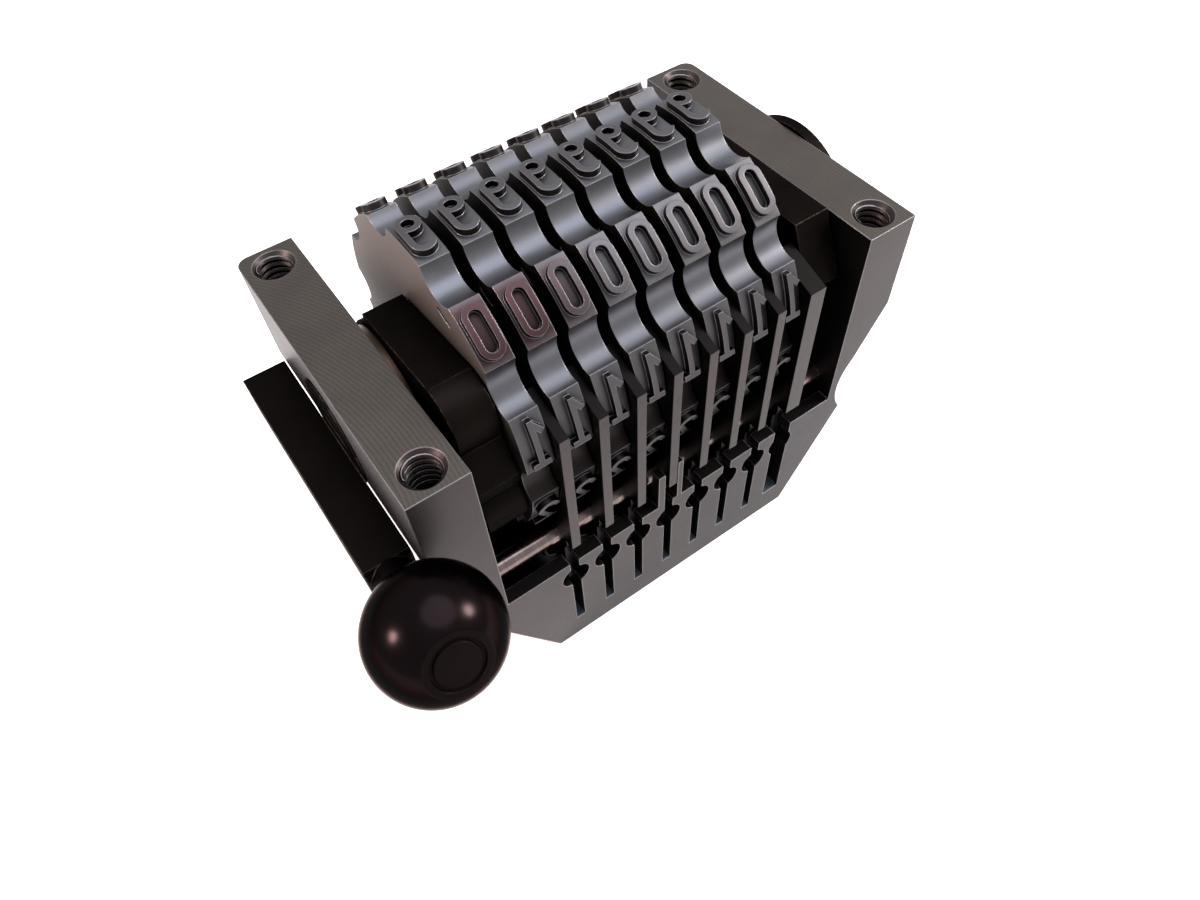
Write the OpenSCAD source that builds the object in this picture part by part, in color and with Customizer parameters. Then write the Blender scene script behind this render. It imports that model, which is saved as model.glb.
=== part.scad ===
// Numbering box: eight figure wheels on one shaft in a milled steel frame,
// stepped by a swing whose outside lever ends in a ball.
// Millimetres. X runs along the wheel shaft, Y from the front to the back, Z up.
// The origin is the middle of the frame's flat bottom.

/* [Figure wheels] */
// Radius of the pads that carry the figures
pad_r = 16.2; // [15.6:0.1:17.4]
// Height of a figure above its pad
relief = 0.65; // [0.4:0.05:0.9]
// Width of a wheel's rim
wheel_w = 2.8; // [2.6:0.1:3.4]
// Width of one pad, as an angle
pad_angle = 20.6; // [18:0.2:24]
// Depth of the hollow between two pads
valley_depth = 1.3; // [0.9:0.1:1.6]
// Height of a figure
figure_h = 4.8; // [4:0.1:5.2]
// Width of a figure
figure_w = 2.3; // [1.8:0.1:2.4]
// Width of a figure's stroke
stroke = 0.56; // [0.4:0.02:0.65]

/* [Ratchets and retaining pawls] */
// Radius of the ratchet teeth's tips
ratchet_r = 13.2; // [12.6:0.1:13.6]
// Depth of a ratchet tooth
tooth_depth = 1.2; // [0.8:0.1:1.6]
// Thickness of a ratchet and of a narrow pawl
ratchet_t = 1; // [0.8:0.05:1.2]
// Thickness of the wide pawl at the right
wide_pawl_t = 1.9; // [1.6:0.1:2.4]
// Radius of the rod that the retaining pawls turn on
pawl_rod_r = 1.1; // [0.9:0.05:1.25]

/* [Shaft and swing] */
// Radius of the wheel shaft
shaft_r = 4; // [3.5:0.1:4.4]
// Thickness of a swing cheek
cheek_t = 4; // [3.6:0.1:4.6]
// Thickness of a swing cheek's rear arm
arm_t = 1.7; // [1.4:0.1:1.9]
// Radius of the journals that turn in the side plates
journal_r = 5.45; // [5.1:0.05:5.9]
// Thickness of the washer between a cheek and its side plate
washer_t = 0.65; // [0.5:0.05:0.9]
// Reach of the cheeks' noses from the shaft's axis
nose_reach = 15; // [14.4:0.1:15.4]
// Radius of the black disc outside the right plate
end_disc_r = 8.4; // [7.5:0.1:9.2]
// Thickness of that disc
end_disc_t = 1.2; // [1:0.1:2]
// Radius of the pin that carries the drive pawl
drive_pin_r = 1.5; // [1.3:0.05:1.6]

/* [Lever and ball] */
// Thickness of the lever bar
lever_t = 4.5; // [4:0.1:5]
// Height of the lever bar
lever_h = 5.6; // [5:0.1:6.5]
// Radius of the ball
ball_r = 5.8; // [5.2:0.1:5.9]
// Radius of the flat turned on the ball's front
ball_flat_r = 2.9; // [2.4:0.1:3.4]
// Radius of the lever's neck behind the ball
neck_r = 2.1; // [1.9:0.05:2.2]
// Radius of the stud in the neck and the ball
stud_r = 1.4; // [1.2:0.05:1.5]
// Angle by which the neck points up
neck_tilt = 28; // [24:1:30]

/* [Frame] */
// Thickness of each side plate
plate_t = 5.75; // [5.25:0.05:6.5]
// Depth of the shaft's axis under the side plates' top
axis_drop = 8.1; // [7.8:0.1:9]
// Thickness of the base under the wheels
base_t = 12; // [11.6:0.1:13]
// Height of the comb above the base's floor
comb_rise = 4; // [3.8:0.1:4.2]
// Thickness of the comb's teeth from front to back
comb_t = 1.55; // [1.3:0.05:1.7]
// Width of a narrow comb slot
slot_w = 1.1; // [0.9:0.05:1.3]
// Width of the wide comb slot
wide_slot_w = 2.3; // [1.8:0.1:2.5]
// Radius of the round openings in the comb slots
keyhole_r = 1.65; // [1.4:0.05:1.7]
// Half the width of the frame's flat bottom
foot_x = 16.6; // [15:0.2:18]
// Height of the straight part of the side plates
straight_h = 11.3; // [10.6:0.1:12.4]
// Radius of the mounting holes' thread bores
mount_r = 1.65; // [1.45:0.05:1.7]
// Depth of the mounting holes
mount_depth = 9; // [7:0.5:11]
// Distance of the mounting holes from the front and back
mount_inset = 2.6; // [2.3:0.1:3.2]

/* [Springs] */
// Radius of the spring wire
wire_r = 0.2; // [0.15:0.01:0.22]
// Outer radius of a pawl spring
pawl_spring_r = 1.3; // [1.1:0.05:1.35]
// Outer radius of the return spring
return_spring_r = 1.2; // [1:0.05:1.3]
// Distance between a spring's curls
curl_pitch = 1; // [0.9:0.02:1.2]

/* [Hidden] */
WHEELS = 8;
FIGURES = 10;
step_angle = 360 / FIGURES;
// The front of the top figure row shows 9 at the top and 0 one step to the front
top_figure = 9;
overrun = 1;
run_clear = 0.03;
seat_clear = 0.05;
side_clear = 0.1;
body_clear = 0.2;
circle_fn = 96;
small_fn = 48;

// Places along the shaft, from the left plate's inner face to the right one's
wheel_gap = ratchet_t + 2 * side_clear;
wheel_pitch = wheel_w + wheel_gap;
washer_room = washer_t + 2 * seat_clear;
inner_w = 2 * washer_room + 2 * cheek_t + 2 * body_clear
    + (WHEELS - 1) * wheel_pitch + wheel_w + side_clear + wide_pawl_t;
inner_x = inner_w / 2;
outer_x = inner_x + plate_t;
left_cheek_x = -inner_x + washer_room;
first_wheel_x = left_cheek_x + cheek_t + body_clear;
last_face_x = first_wheel_x + (WHEELS - 1) * wheel_pitch + wheel_w;
wide_pawl_x = last_face_x + side_clear;
right_cheek_x = wide_pawl_x + wide_pawl_t + body_clear;
right_cheek_end = right_cheek_x + cheek_t;
function wheel_x(k) = first_wheel_x + (k - 1) * wheel_pitch;
function pawl_x(k) = wheel_x(k) + wheel_w + side_clear;
function pawl_t(k) = k == WHEELS ? wide_pawl_t : ratchet_t;

// Heights and depths
type_r = pad_r + relief;
floor_clear = 2.05;
front_margin = 0.15;
axis_z = base_t + floor_clear + type_r;
frame_h = axis_z + axis_drop;
half_l = type_r + front_margin;
front_y = -half_l;
comb_z = base_t + comb_rise;

// The milled frame's outline seen from the front
bump_in = 3.5;
bump_up = 1.35;
scallop_r = 6.5;
scallop_out = 1.75;
scallop_up = 3.73;
bump_x = outer_x - bump_in;
bump_z = base_t + bump_up;
scallop_x = outer_x + scallop_out;
scallop_z = bump_z + scallop_up;
shoulder_z = frame_h - straight_h;
plate_corner_r = 1.2;
countersink = 0.4;
mount_x = outer_x - plate_t / 2;
mount_y = half_l - mount_inset;

// The comb, the trough for the pawl tails and the spring rail behind it
trough_w = 2.85;
trough_drop = 3.5;
trough_z = base_t - trough_drop;
rail_w = 3.4;
slot_depth = comb_t + trough_w;
slot_floor = 3.6;
slot_shift = 0.5;
wide_slot_shift = 0.95;
keyhole_drop = 2.8;
keyhole_z = comb_z - keyhole_drop;
pocket_r = 1.5;
pocket_depth = 2.9;
rail_y = front_y + slot_depth;
prong_t = 1.2;
prong_w = 0.8;
prong_rise = 5.3;
prong_pawl = 4;
function slot_x(k) = k == WHEELS
    ? pawl_x(k) + pawl_t(k) / 2 - wide_slot_shift
    : pawl_x(k) + pawl_t(k) / 2 - slot_shift;

// The wheels
bore_r = shaft_r + run_clear;
valley_half = (step_angle - pad_angle) / 2;
valley_chord = pad_r * sin(valley_half);
valley_cut_r = (valley_chord * valley_chord + valley_depth * valley_depth) / (2 * valley_depth);
valley_cut_at = pad_r * cos(valley_half) - valley_depth + valley_cut_r;
figure_root = 0.4;
mark_r = 13.6;
mark_w = 0.55;
mark_l = 1.9;
mark_depth = 0.8;
mark_angle = 24;

// Retaining pawls
pawl_set = 0.05;
pawl_front_y = front_y + pawl_set;
pawl_nose_r = ratchet_r + body_clear;
pawl_relief = 0.55;
pawl_rod_in = 3.2;
pawl_rod_up = 1.9;
pawl_boss_wall = 0.9;
pawl_top = 5.2;
pawl_top_angle = 59;
pawl_arc_end = 97;
pawl_heel_up = 2.6;
pawl_tail_clear = 0.7;
pawl_tail_up = 1.5;
nose_angle = 80;
nose_span = 5;
pawl_inner_r = ratchet_r + pawl_relief;
pawl_rod_y = front_y + pawl_rod_in;
pawl_rod_z = comb_z + pawl_rod_up;
pawl_boss_r = pawl_rod_r + pawl_boss_wall;
pawl_heel_z = comb_z + pawl_heel_up;
pawl_back_y = front_y + comb_t + body_clear;
pawl_tail_y = rail_y - pawl_tail_clear;
pawl_tail_z = trough_z + pawl_tail_up;
waist_x = scallop_x - scallop_r;

// The swing: cheeks, journals, shaft and the pin behind the wheels
hub_r = 8;
journal_bore_r = journal_r + run_clear;
washer_bore_r = journal_r + side_clear;
washer_in = 0.4;
washer_r = hub_r - washer_in;
tongue_d = 1.2;
tongue_w = 2.4;
tongue_share = 1.76;
tongue_l = tongue_share * journal_r;
screw_r = 1.5;
screw_head_r = 2.55;
screw_head_h = 1.05;
screw_in = 8;
screw_slot_w = 0.5;
screw_slot_d = 0.5;
shaft_x0 = left_cheek_x + tongue_d + seat_clear;
shaft_x1 = right_cheek_end - tongue_d - seat_clear;
drive_tube_wall = 0.8;
drive_gap = 0.45;
arm_end_wall = 1.2;
drive_tube_r = drive_pin_r + drive_tube_wall;
drive_pin_at = type_r + drive_gap + drive_tube_r;
drive_pin_angle = 144;
drive_pin_y = drive_pin_at * sin(drive_pin_angle);
drive_pin_z = drive_pin_at * cos(drive_pin_angle);
arm_end_r = drive_pin_r + arm_end_wall;
arm_root_r = 6.5;

// Outlines of the cheeks' noses, as shares of their reach
left_nose_shares = [[0.207, 0.567], [-0.627, 0.667], [-0.627, 0.413], [-0.86, 0.313],
    [-0.993, 0.087], [-0.973, -0.013], [-0.82, -0.227], [-0.7, -0.4], [-0.2, -0.5], [0.207, 0]];
nose_round_share = [-0.627, 0.413];
nose_round_r_share = 0.253;
lobe_share = [-0.82, -0.227];
lobe_r_share = 0.2;
right_nose_shares = [[0.207, 0.58], [-0.787, 0.593], [-0.985, 0.17], [-0.893, 0.02],
    [-0.48, -0.2], [0.207, 0]];

// The drive pawl
drive_web_t = 2.6;
drive_web_clear = 0.35;
drive_top_angle = 121;
drive_step_angle = 131;
drive_root_angle = drive_pin_angle - 2;
finger_angle = 4;
coil_room = 3.6;
drive_inner_r = type_r + drive_web_clear;
drive_tip_r = ratchet_r + body_clear;
drive_x0 = first_wheel_x + side_clear;
drive_x1 = right_cheek_x - 2 * body_clear;
drive_tube_x1 = drive_x1 - coil_room;
coil_r = drive_pin_r + 3 * wire_r;

// The lever and its ball
lever_clear = 0.15;
lever_drop = 2.8;
lever_x = -outer_x - lever_clear;
lever_front_in = 3.6;
lever_back_in = 2.6;
lever_front = front_y + lever_front_in;
lever_back = half_l - lever_back_in;
lever_z = axis_z - lever_drop - lever_h / 2;
lever_edge = 0.4;
disc_x1 = outer_x + lever_clear + end_disc_t;
neck_up = 0.7;
neck_flat = 0.2;
ball_clear = 0.6;
neck_x = lever_x - lever_t / 2;
neck_z = lever_z + neck_up;
ball_beside = outer_x + neck_x;
ball_y = front_y - ball_clear - sqrt(ball_r * ball_r - ball_beside * ball_beside);
ball_at = (lever_front - ball_y) / cos(neck_tilt);
neck_flat_r = neck_r + neck_flat;
neck_l = ball_at - sqrt(ball_r * ball_r - neck_flat_r * neck_flat_r);
ball_front = sqrt(ball_r * ball_r - ball_flat_r * ball_flat_r);
ball_ring_w = 0.35;
ball_ring_d = 0.25;
ball_ring_share = 0.78;
stud_in = 3.5;

// Springs, the return spring's post and the swing's stop
post_r = 0.8;
post_back = 10.5;
post_up = 2.6;
post_in = 1.2;
post_y = front_y + post_back;
post_z = base_t + post_up;
return_x = right_cheek_x + arm_t + body_clear + return_spring_r;
hook_r = drive_pin_r + wire_r + seat_clear;
stop_r = 1.5;
stop_at = 12.5;
arm_dir = at_angle(1, drive_pin_angle);
arm_side = [arm_dir[1], -arm_dir[0]];
arm_taper = (arm_root_r - arm_end_r) / drive_pin_at;
arm_half_at = (arm_root_r - arm_taper * stop_at) / sqrt(1 - arm_taper * arm_taper);
stop_place = [0, axis_z] + stop_at * arm_dir + (arm_half_at + stop_r + side_clear) * arm_side;
pawl_spring_front = pawl_tail_y + side_clear;
pawl_spring_back = rail_y + pocket_depth - side_clear;
curl_rings = 8;
wire_fn = 6;

// Turns a shape drawn in a side view, with Y to the right and Z up, into a slab along X
module slab(x0, x1) {
    translate([x0, 0, 0]) rotate([90, 0, 90]) linear_extrude(height = x1 - x0) children();
}

// A round bar along X at a place in the side view
module bar_x(r, x0, x1, y, z, fn = small_fn) {
    translate([x0, y, z]) rotate([0, 90, 0]) cylinder(r = r, h = x1 - x0, $fn = fn);
}

// A point at an angle from straight up towards the back, as seen in the side view
function at_angle(r, a) = [r * sin(a), r * cos(a)];

// A bar with round ends of two sizes: its sides are the circles' outer tangents
module tapered_arm(p, rp, q, rq) {
    along = q - p;
    len = norm(along);
    u = along / len;
    n = [-u[1], u[0]];
    s = (rp - rq) / len;
    c = sqrt(1 - s * s);
    polygon([p + rp * (s * u + c * n), q + rq * (s * u + c * n),
        q + rq * (s * u - c * n), p + rp * (s * u - c * n)]);
    translate(p) circle(r = rp, $fn = small_fn);
    translate(q) circle(r = rq, $fn = small_fn);
}

// A ring sector in the side view, between two angles from straight up
module arc_band(r0, r1, a0, a1, steps = 16) {
    polygon(concat([for (i = [0:steps]) at_angle(r1, a0 + (a1 - a0) * i / steps)],
        [for (i = [steps:-1:0]) at_angle(r0, a0 + (a1 - a0) * i / steps)]));
}

// One unbroken wire through a list of points, six sided, for springs
function unit(v) = v / norm(v);
module wire(points, side) {
    last = len(points) - 1;
    rings = [for (i = [0:last]) let (
        d = unit(points[min(i + 1, last)] - points[max(i - 1, 0)]),
        a = unit(cross(d, side)),
        b = cross(d, a))
        [for (k = [0:wire_fn - 1]) points[i]
            + wire_r * (cos(360 * k / wire_fn) * a + sin(360 * k / wire_fn) * b)]];
    flat = [for (ring = rings) for (p = ring) p];
    polyhedron(points = flat, faces = concat(
        [[for (k = [0:wire_fn - 1]) k]],
        [for (i = [0:last - 1]) for (k = [0:wire_fn - 1]) let (
            a = i * wire_fn + k,
            b = i * wire_fn + (k + 1) % wire_fn)
            [a, a + wire_fn, b]],
        [for (i = [0:last - 1]) for (k = [0:wire_fn - 1]) let (
            a = i * wire_fn + k,
            b = i * wire_fn + (k + 1) % wire_fn)
            [b, a + wire_fn, b + wire_fn]],
        [[for (k = [wire_fn - 1:-1:0]) last * wire_fn + k]]));
}

// Points of a coil along Z, starting at a height, on a mean radius
function coil(r, z0, z1, pitch) = let (turns = (z1 - z0) / pitch, n = round(turns * curl_rings))
    [for (i = [0:n]) [r * cos(360 * turns * i / n), r * sin(360 * turns * i / n),
        z0 + (z1 - z0) * i / n]];

// Outline of the whole frame from the front, without the comb
module frame_front() {
    difference() {
        polygon([[-foot_x, 0], [foot_x, 0], [bump_x, bump_z], [bump_x, bump_z + 2 * scallop_up],
            [outer_x, shoulder_z], [outer_x, frame_h], [-outer_x, frame_h], [-outer_x, shoulder_z],
            [-bump_x, bump_z + 2 * scallop_up], [-bump_x, bump_z]]);
        for (side = [-1, 1])
            translate([side * scallop_x, scallop_z]) circle(r = scallop_r, $fn = circle_fn);
    }
}

module main_frame() {
    color([0.52, 0.5, 0.5]) difference() {
        union() {
            intersection() {
                translate([0, half_l, 0]) rotate([90, 0, 0])
                    linear_extrude(height = 2 * half_l) frame_front();
                linear_extrude(height = frame_h) frame_plan();
            }
        }
        // Room for the wheels between the plates, above the base
        translate([-inner_x, rail_y + rail_w, base_t])
            cube([inner_w, 2 * half_l, frame_h]);
        translate([-inner_x, front_y - overrun, comb_z])
            cube([inner_w, slot_depth + rail_w + 2 * overrun, frame_h]);
        // Trough for the pawls' tails behind the comb
        translate([-inner_x, front_y + comb_t, trough_z])
            cube([inner_w, trough_w, frame_h]);
        for (k = [1:WHEELS]) comb_cut(k);
        for (side = [-1, 1]) for (end = [-1, 1])
            translate([side * mount_x, end * mount_y, frame_h]) mount_hole();
        bar_x(journal_bore_r, -outer_x - overrun, outer_x + overrun, 0, axis_z, circle_fn);
        bar_x(pawl_rod_r + seat_clear, -outer_x, outer_x, pawl_rod_y, pawl_rod_z);
        bar_x(post_r + seat_clear, inner_x - overrun, inner_x + post_in + seat_clear,
            post_y, post_z);
        bar_x(stop_r + seat_clear, -outer_x, -inner_x + overrun, stop_place[0], stop_place[1]);
    }
    color([0.52, 0.5, 0.5]) comb_prongs();
}

// Plan of the frame: square at the front, rounded at the back corners of each plate
module frame_plan() {
    square_l = 2 * half_l - plate_corner_r;
    for (side = [-1, 1])
        translate([side * (inner_x + plate_corner_r), half_l - plate_corner_r])
            circle(r = plate_corner_r, $fn = small_fn);
    for (side = [-1, 1])
        translate([side * (outer_x - plate_corner_r), half_l - plate_corner_r])
            circle(r = plate_corner_r, $fn = small_fn);
    translate([-outer_x, front_y]) square([2 * outer_x, square_l]);
    translate([-outer_x + plate_corner_r, front_y])
        square([2 * (outer_x - plate_corner_r), 2 * half_l]);
}

// One slot of the comb, its round opening and the blind spring pocket behind it
module comb_cut(k) {
    w = k == WHEELS ? wide_slot_w : slot_w;
    translate([slot_x(k) - w / 2, front_y - overrun, slot_floor])
        cube([w, slot_depth + overrun, frame_h]);
    translate([slot_x(k), front_y + comb_t + overrun / 2, keyhole_z]) rotate([90, 0, 0])
        cylinder(r = keyhole_r, h = comb_t + overrun, $fn = small_fn);
    translate([slot_x(k), rail_y + pocket_depth, keyhole_z]) rotate([90, 0, 0])
        cylinder(r = pocket_r, h = pocket_depth + overrun, $fn = small_fn);
}

// The two prongs that stand beside the fourth pawl
module comb_prongs() {
    left = slot_x(prong_pawl) - slot_w / 2 - prong_w;
    right = pawl_x(prong_pawl) + pawl_t(prong_pawl) + side_clear;
    translate([left, front_y, comb_z - seat_clear])
        cube([prong_w, prong_t, prong_rise + seat_clear]);
    translate([right, front_y, comb_z - seat_clear])
        cube([prong_w - body_clear, prong_t, prong_rise + prong_w + seat_clear]);
}

// A blind threaded hole with a small countersink, seen from its mouth
module mount_hole() {
    translate([0, 0, -mount_depth]) cylinder(r = mount_r, h = mount_depth + overrun, $fn = small_fn);
    translate([0, 0, -countersink])
        cylinder(r1 = mount_r, r2 = mount_r + countersink, h = countersink, $fn = small_fn);
}

module wheel_shaft() {
    color([0.6, 0.6, 0.62]) difference() {
        bar_x(shaft_r, shaft_x0, shaft_x1, 0, axis_z, circle_fn);
        bar_x(screw_r + seat_clear, shaft_x0 - overrun, shaft_x0 + screw_in + overrun, 0, axis_z);
        bar_x(screw_r + seat_clear, shaft_x1 - screw_in - overrun, shaft_x1 + overrun, 0, axis_z);
    }
}

// Strokes of the figures, each drawn about the middle of a figure_w by figure_h box
module bar_stroke(p, q) {
    d = q - p;
    translate(p) rotate(atan2(d[1], d[0])) translate([0, -stroke / 2]) square([norm(d), stroke]);
}

module round_stroke(r, c, a0, a1) {
    reach = 2 * r + stroke;
    steps = 6;
    translate(c) intersection() {
        difference() {
            circle(r = r + stroke / 2, $fn = small_fn);
            circle(r = r - stroke / 2, $fn = small_fn);
        }
        polygon(concat([[0, 0]], [for (i = [0:steps]) let (a = a0 + (a1 - a0) * i / steps)
            [reach * cos(a), reach * sin(a)]]));
    }
}

module long_ring(h) {
    r = figure_w / 2;
    difference() {
        long_round(r, h);
        long_round(r - stroke, h - 2 * stroke);
    }
}

module long_round(r, h) {
    for (end = [-1, 1]) translate([0, end * (h / 2 - r)]) circle(r = r, $fn = small_fn);
    translate([-r, r - h / 2]) square([2 * r, h - 2 * r]);
}

module figure_shape(n) {
    hw = (figure_w - stroke) / 2;
    hh = (figure_h - stroke) / 2;
    lower_r = figure_h - stroke - 2 * hw > 2 * hw ? hw : figure_h / 4;
    if (n == 0) long_ring(figure_h);
    if (n == 1) {
        bar_stroke([0, -hh], [0, hh + stroke / 2]);
        bar_stroke([-hw, -hh], [hw, -hh]);
        bar_stroke([-hw, hh / 2], [0, hh]);
    }
    if (n == 2) {
        round_stroke(hw, [0, hh - hw], 0, 180);
        bar_stroke([hw, hh - hw], [-hw, -hh]);
        bar_stroke([-hw - stroke / 2, -hh], [hw + stroke / 2, -hh]);
    }
    if (n == 3) {
        round_stroke(hw, [0, hh - hw], -90, 170);
        round_stroke(hw, [0, hw - hh], -170, 90);
        bar_stroke([-hw / 4, 0], [hw / 2, 0]);
    }
    if (n == 4) {
        bar_stroke([hw / 2, -hh - stroke / 2], [hw / 2, hh + stroke / 2]);
        bar_stroke([hw / 2, hh], [-hw, -hh / 3]);
        bar_stroke([-hw - stroke / 2, -hh / 3], [hw + stroke / 2, -hh / 3]);
    }
    if (n == 5) {
        bar_stroke([-hw, hh], [hw + stroke / 2, hh]);
        bar_stroke([-hw, hh + stroke / 2], [-hw, hh / 5]);
        round_stroke(hw, [0, hw - hh], -160, 160);
        bar_stroke([-hw, hh / 5], [0, hh / 5 + stroke / 4]);
    }
    if (n == 6) {
        long_six();
    }
    if (n == 7) {
        bar_stroke([-hw - stroke / 2, hh], [hw + stroke / 2, hh]);
        bar_stroke([hw, hh], [-hw / 4, -hh - stroke / 2]);
    }
    if (n == 8) {
        round_stroke(lower_r, [0, hh - lower_r], 0, 180);
        round_stroke(lower_r, [0, hh - lower_r], 180, 360);
        round_stroke(lower_r, [0, lower_r - hh], 0, 180);
        round_stroke(lower_r, [0, lower_r - hh], 180, 360);
        bar_stroke([0, hh - 2 * lower_r], [0, 2 * lower_r - hh]);
    }
    if (n == 9) rotate(180) long_six();
}

module long_six() {
    hw = (figure_w - stroke) / 2;
    hh = (figure_h - stroke) / 2;
    for (half = [0, 180]) round_stroke(hw, [0, hw - hh], half, half + 180);
    bar_stroke([-hw, hw - hh], [-hw, hh - hw]);
    round_stroke(hw, [0, hh - hw], 20, 180);
}

// A wheel with its middle plane at X 0 and its axis along X through the origin.
// The figures are reversed, because they print.
module figure_wheel_body() {
    difference() {
        union() {
            difference() {
                bar_x(pad_r, 0, wheel_w, 0, 0, 180);
                for (i = [0:FIGURES - 1]) rotate([(i + 1 / 2) * step_angle, 0, 0])
                    bar_x(valley_cut_r, -overrun, wheel_w + overrun, 0, valley_cut_at);
            }
            intersection() {
                bar_x(type_r, 0, wheel_w, 0, 0, 180);
                for (i = [0:FIGURES - 1]) rotate([i * step_angle, 0, 0])
                    translate([wheel_w / 2, 0, pad_r - figure_root]) mirror([1, 0, 0])
                        linear_extrude(height = relief + figure_root + overrun)
                            figure_shape((top_figure + i) % FIGURES);
            }
        }
        bar_x(bore_r, -overrun, wheel_w + overrun, 0, 0, circle_fn);
        rotate([mark_angle, 0, 0]) translate([-overrun, -mark_l / 2, mark_r - mark_w / 2])
            cube([overrun + mark_depth, mark_l, mark_w]);
    }
}

module figure_wheel(k) {
    color([0.68, 0.69, 0.72]) translate([wheel_x(k), 0, axis_z]) figure_wheel_body();
}

// Ten saw teeth whose steep sides face down at the front, where the pawls hold them
module ratchet(k) {
    steep = 2;
    root_r = ratchet_r - tooth_depth;
    color([0.13, 0.12, 0.12]) difference() {
        translate([0, 0, axis_z]) slab(wheel_x(k) + wheel_w, wheel_x(k) + wheel_w + ratchet_t)
            polygon([for (i = [0:FIGURES - 1]) for (s = [0, 1])
                at_angle(s == 0 ? ratchet_r : root_r,
                    -nose_angle - i * step_angle - (s == 0 ? 0 : steep))]);
        bar_x(bore_r, wheel_x(k), wheel_x(k) + 2 * wheel_w, 0, axis_z, circle_fn);
    }
}

// Outline of a pawl in the side view: straight ground front, hollow back, and the tail
module pawl_outline() {
    arc_steps = 12;
    polygon(concat([[pawl_front_y, axis_z + pawl_top]],
        [for (i = [0:arc_steps]) [0, axis_z] + at_angle(pawl_inner_r,
            -pawl_top_angle - (pawl_arc_end - pawl_top_angle) * i / arc_steps)],
        [[pawl_rod_y + pawl_rod_r, pawl_rod_z + pawl_rod_r],
            [pawl_rod_y, pawl_rod_z - pawl_rod_r], [pawl_tail_y, pawl_rod_z - pawl_rod_r],
            [pawl_tail_y, pawl_tail_z], [pawl_back_y, pawl_tail_z],
            [pawl_back_y, pawl_heel_z], [pawl_front_y, pawl_heel_z]]));
}

module retaining_pawl(k) {
    x0 = pawl_x(k);
    x1 = x0 + pawl_t(k);
    color([0.16, 0.15, 0.15]) difference() {
        union() {
            slab(x0, x1) pawl_outline();
            bar_x(pawl_boss_r, x0, x1, pawl_rod_y, pawl_rod_z);
            translate([0, 0, axis_z]) slab(x0, x1)
                arc_band(pawl_nose_r, pawl_inner_r + wire_r, -nose_angle - nose_span, -nose_angle, 4);
        }
        bar_x(pawl_rod_r + run_clear, x0 - overrun, x1 + overrun, pawl_rod_y, pawl_rod_z);
    }
}

module pawl_spring(k) {
    color([0.5, 0.5, 0.52]) translate([slot_x(k), 0, keyhole_z]) rotate([-90, 0, 0])
        wire(coil(pawl_spring_r - wire_r, pawl_spring_front, pawl_spring_back, curl_pitch), [0, 0, 1]);
}

module pawl_rod() {
    color([0.62, 0.55, 0.52])
        bar_x(pawl_rod_r, -waist_x, waist_x, pawl_rod_y, pawl_rod_z);
}

module cheek_bore(x0) {
    bar_x(shaft_r + seat_clear, x0 - overrun, x0 + cheek_t + overrun, 0, axis_z, circle_fn);
    bar_x(drive_pin_r + seat_clear, x0 - overrun, x0 + cheek_t + overrun,
        drive_pin_y, axis_z + drive_pin_z);
}

module tongue(x0, x1, clear) {
    translate([x0, -tongue_l / 2 - clear, axis_z - tongue_w / 2 - clear])
        cube([x1 - x0, tongue_l + 2 * clear, tongue_w + 2 * clear]);
}

module left_cheek() {
    x1 = left_cheek_x + cheek_t;
    color([0.11, 0.1, 0.1]) difference() {
        union() {
            translate([0, 0, axis_z]) slab(left_cheek_x, x1) {
                polygon(nose_reach * left_nose_shares);
                translate(nose_reach * nose_round_share)
                    circle(r = nose_reach * nose_round_r_share, $fn = small_fn);
                translate(nose_reach * lobe_share)
                    circle(r = nose_reach * lobe_r_share, $fn = small_fn);
                circle(r = hub_r, $fn = circle_fn);
            }
            translate([0, 0, axis_z]) slab(x1 - arm_t, x1)
                tapered_arm([0, 0], arm_root_r, [drive_pin_y, drive_pin_z], arm_end_r);
        }
        cheek_bore(left_cheek_x);
        tongue(left_cheek_x - overrun, left_cheek_x + tongue_d + seat_clear, seat_clear);
    }
}

module right_cheek() {
    color([0.11, 0.1, 0.1]) difference() {
        union() {
            translate([0, 0, axis_z]) slab(right_cheek_x, right_cheek_end) {
                polygon(nose_reach * right_nose_shares);
                circle(r = hub_r, $fn = circle_fn);
            }
            translate([0, 0, axis_z]) slab(right_cheek_x, right_cheek_x + arm_t)
                tapered_arm([0, 0], arm_root_r, [drive_pin_y, drive_pin_z], arm_end_r);
        }
        cheek_bore(right_cheek_x);
        tongue(right_cheek_end - tongue_d - seat_clear, right_cheek_end + overrun, seat_clear);
    }
}

module washer(x0) {
    color([0.62, 0.53, 0.33]) difference() {
        bar_x(washer_r, x0, x0 + washer_t, 0, axis_z, circle_fn);
        bar_x(washer_bore_r, x0 - overrun, x0 + washer_t + overrun, 0, axis_z, circle_fn);
    }
}

module left_washer() { washer(-inner_x + seat_clear); }

module right_washer() { washer(right_cheek_end + seat_clear); }

// Hole for a countersunk screw along X, with its head at x0 and running inwards
module screw_hole(x0, inwards) {
    translate([x0, 0, axis_z]) rotate([0, inwards * 90, 0]) {
        translate([0, 0, -overrun])
            cylinder(r = screw_head_r + seat_clear, h = overrun, $fn = small_fn);
        cylinder(r1 = screw_head_r + seat_clear, r2 = screw_r + seat_clear,
            h = screw_head_h, $fn = small_fn);
        cylinder(r = screw_r + seat_clear, h = 2 * plate_t + cheek_t, $fn = small_fn);
    }
}

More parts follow.
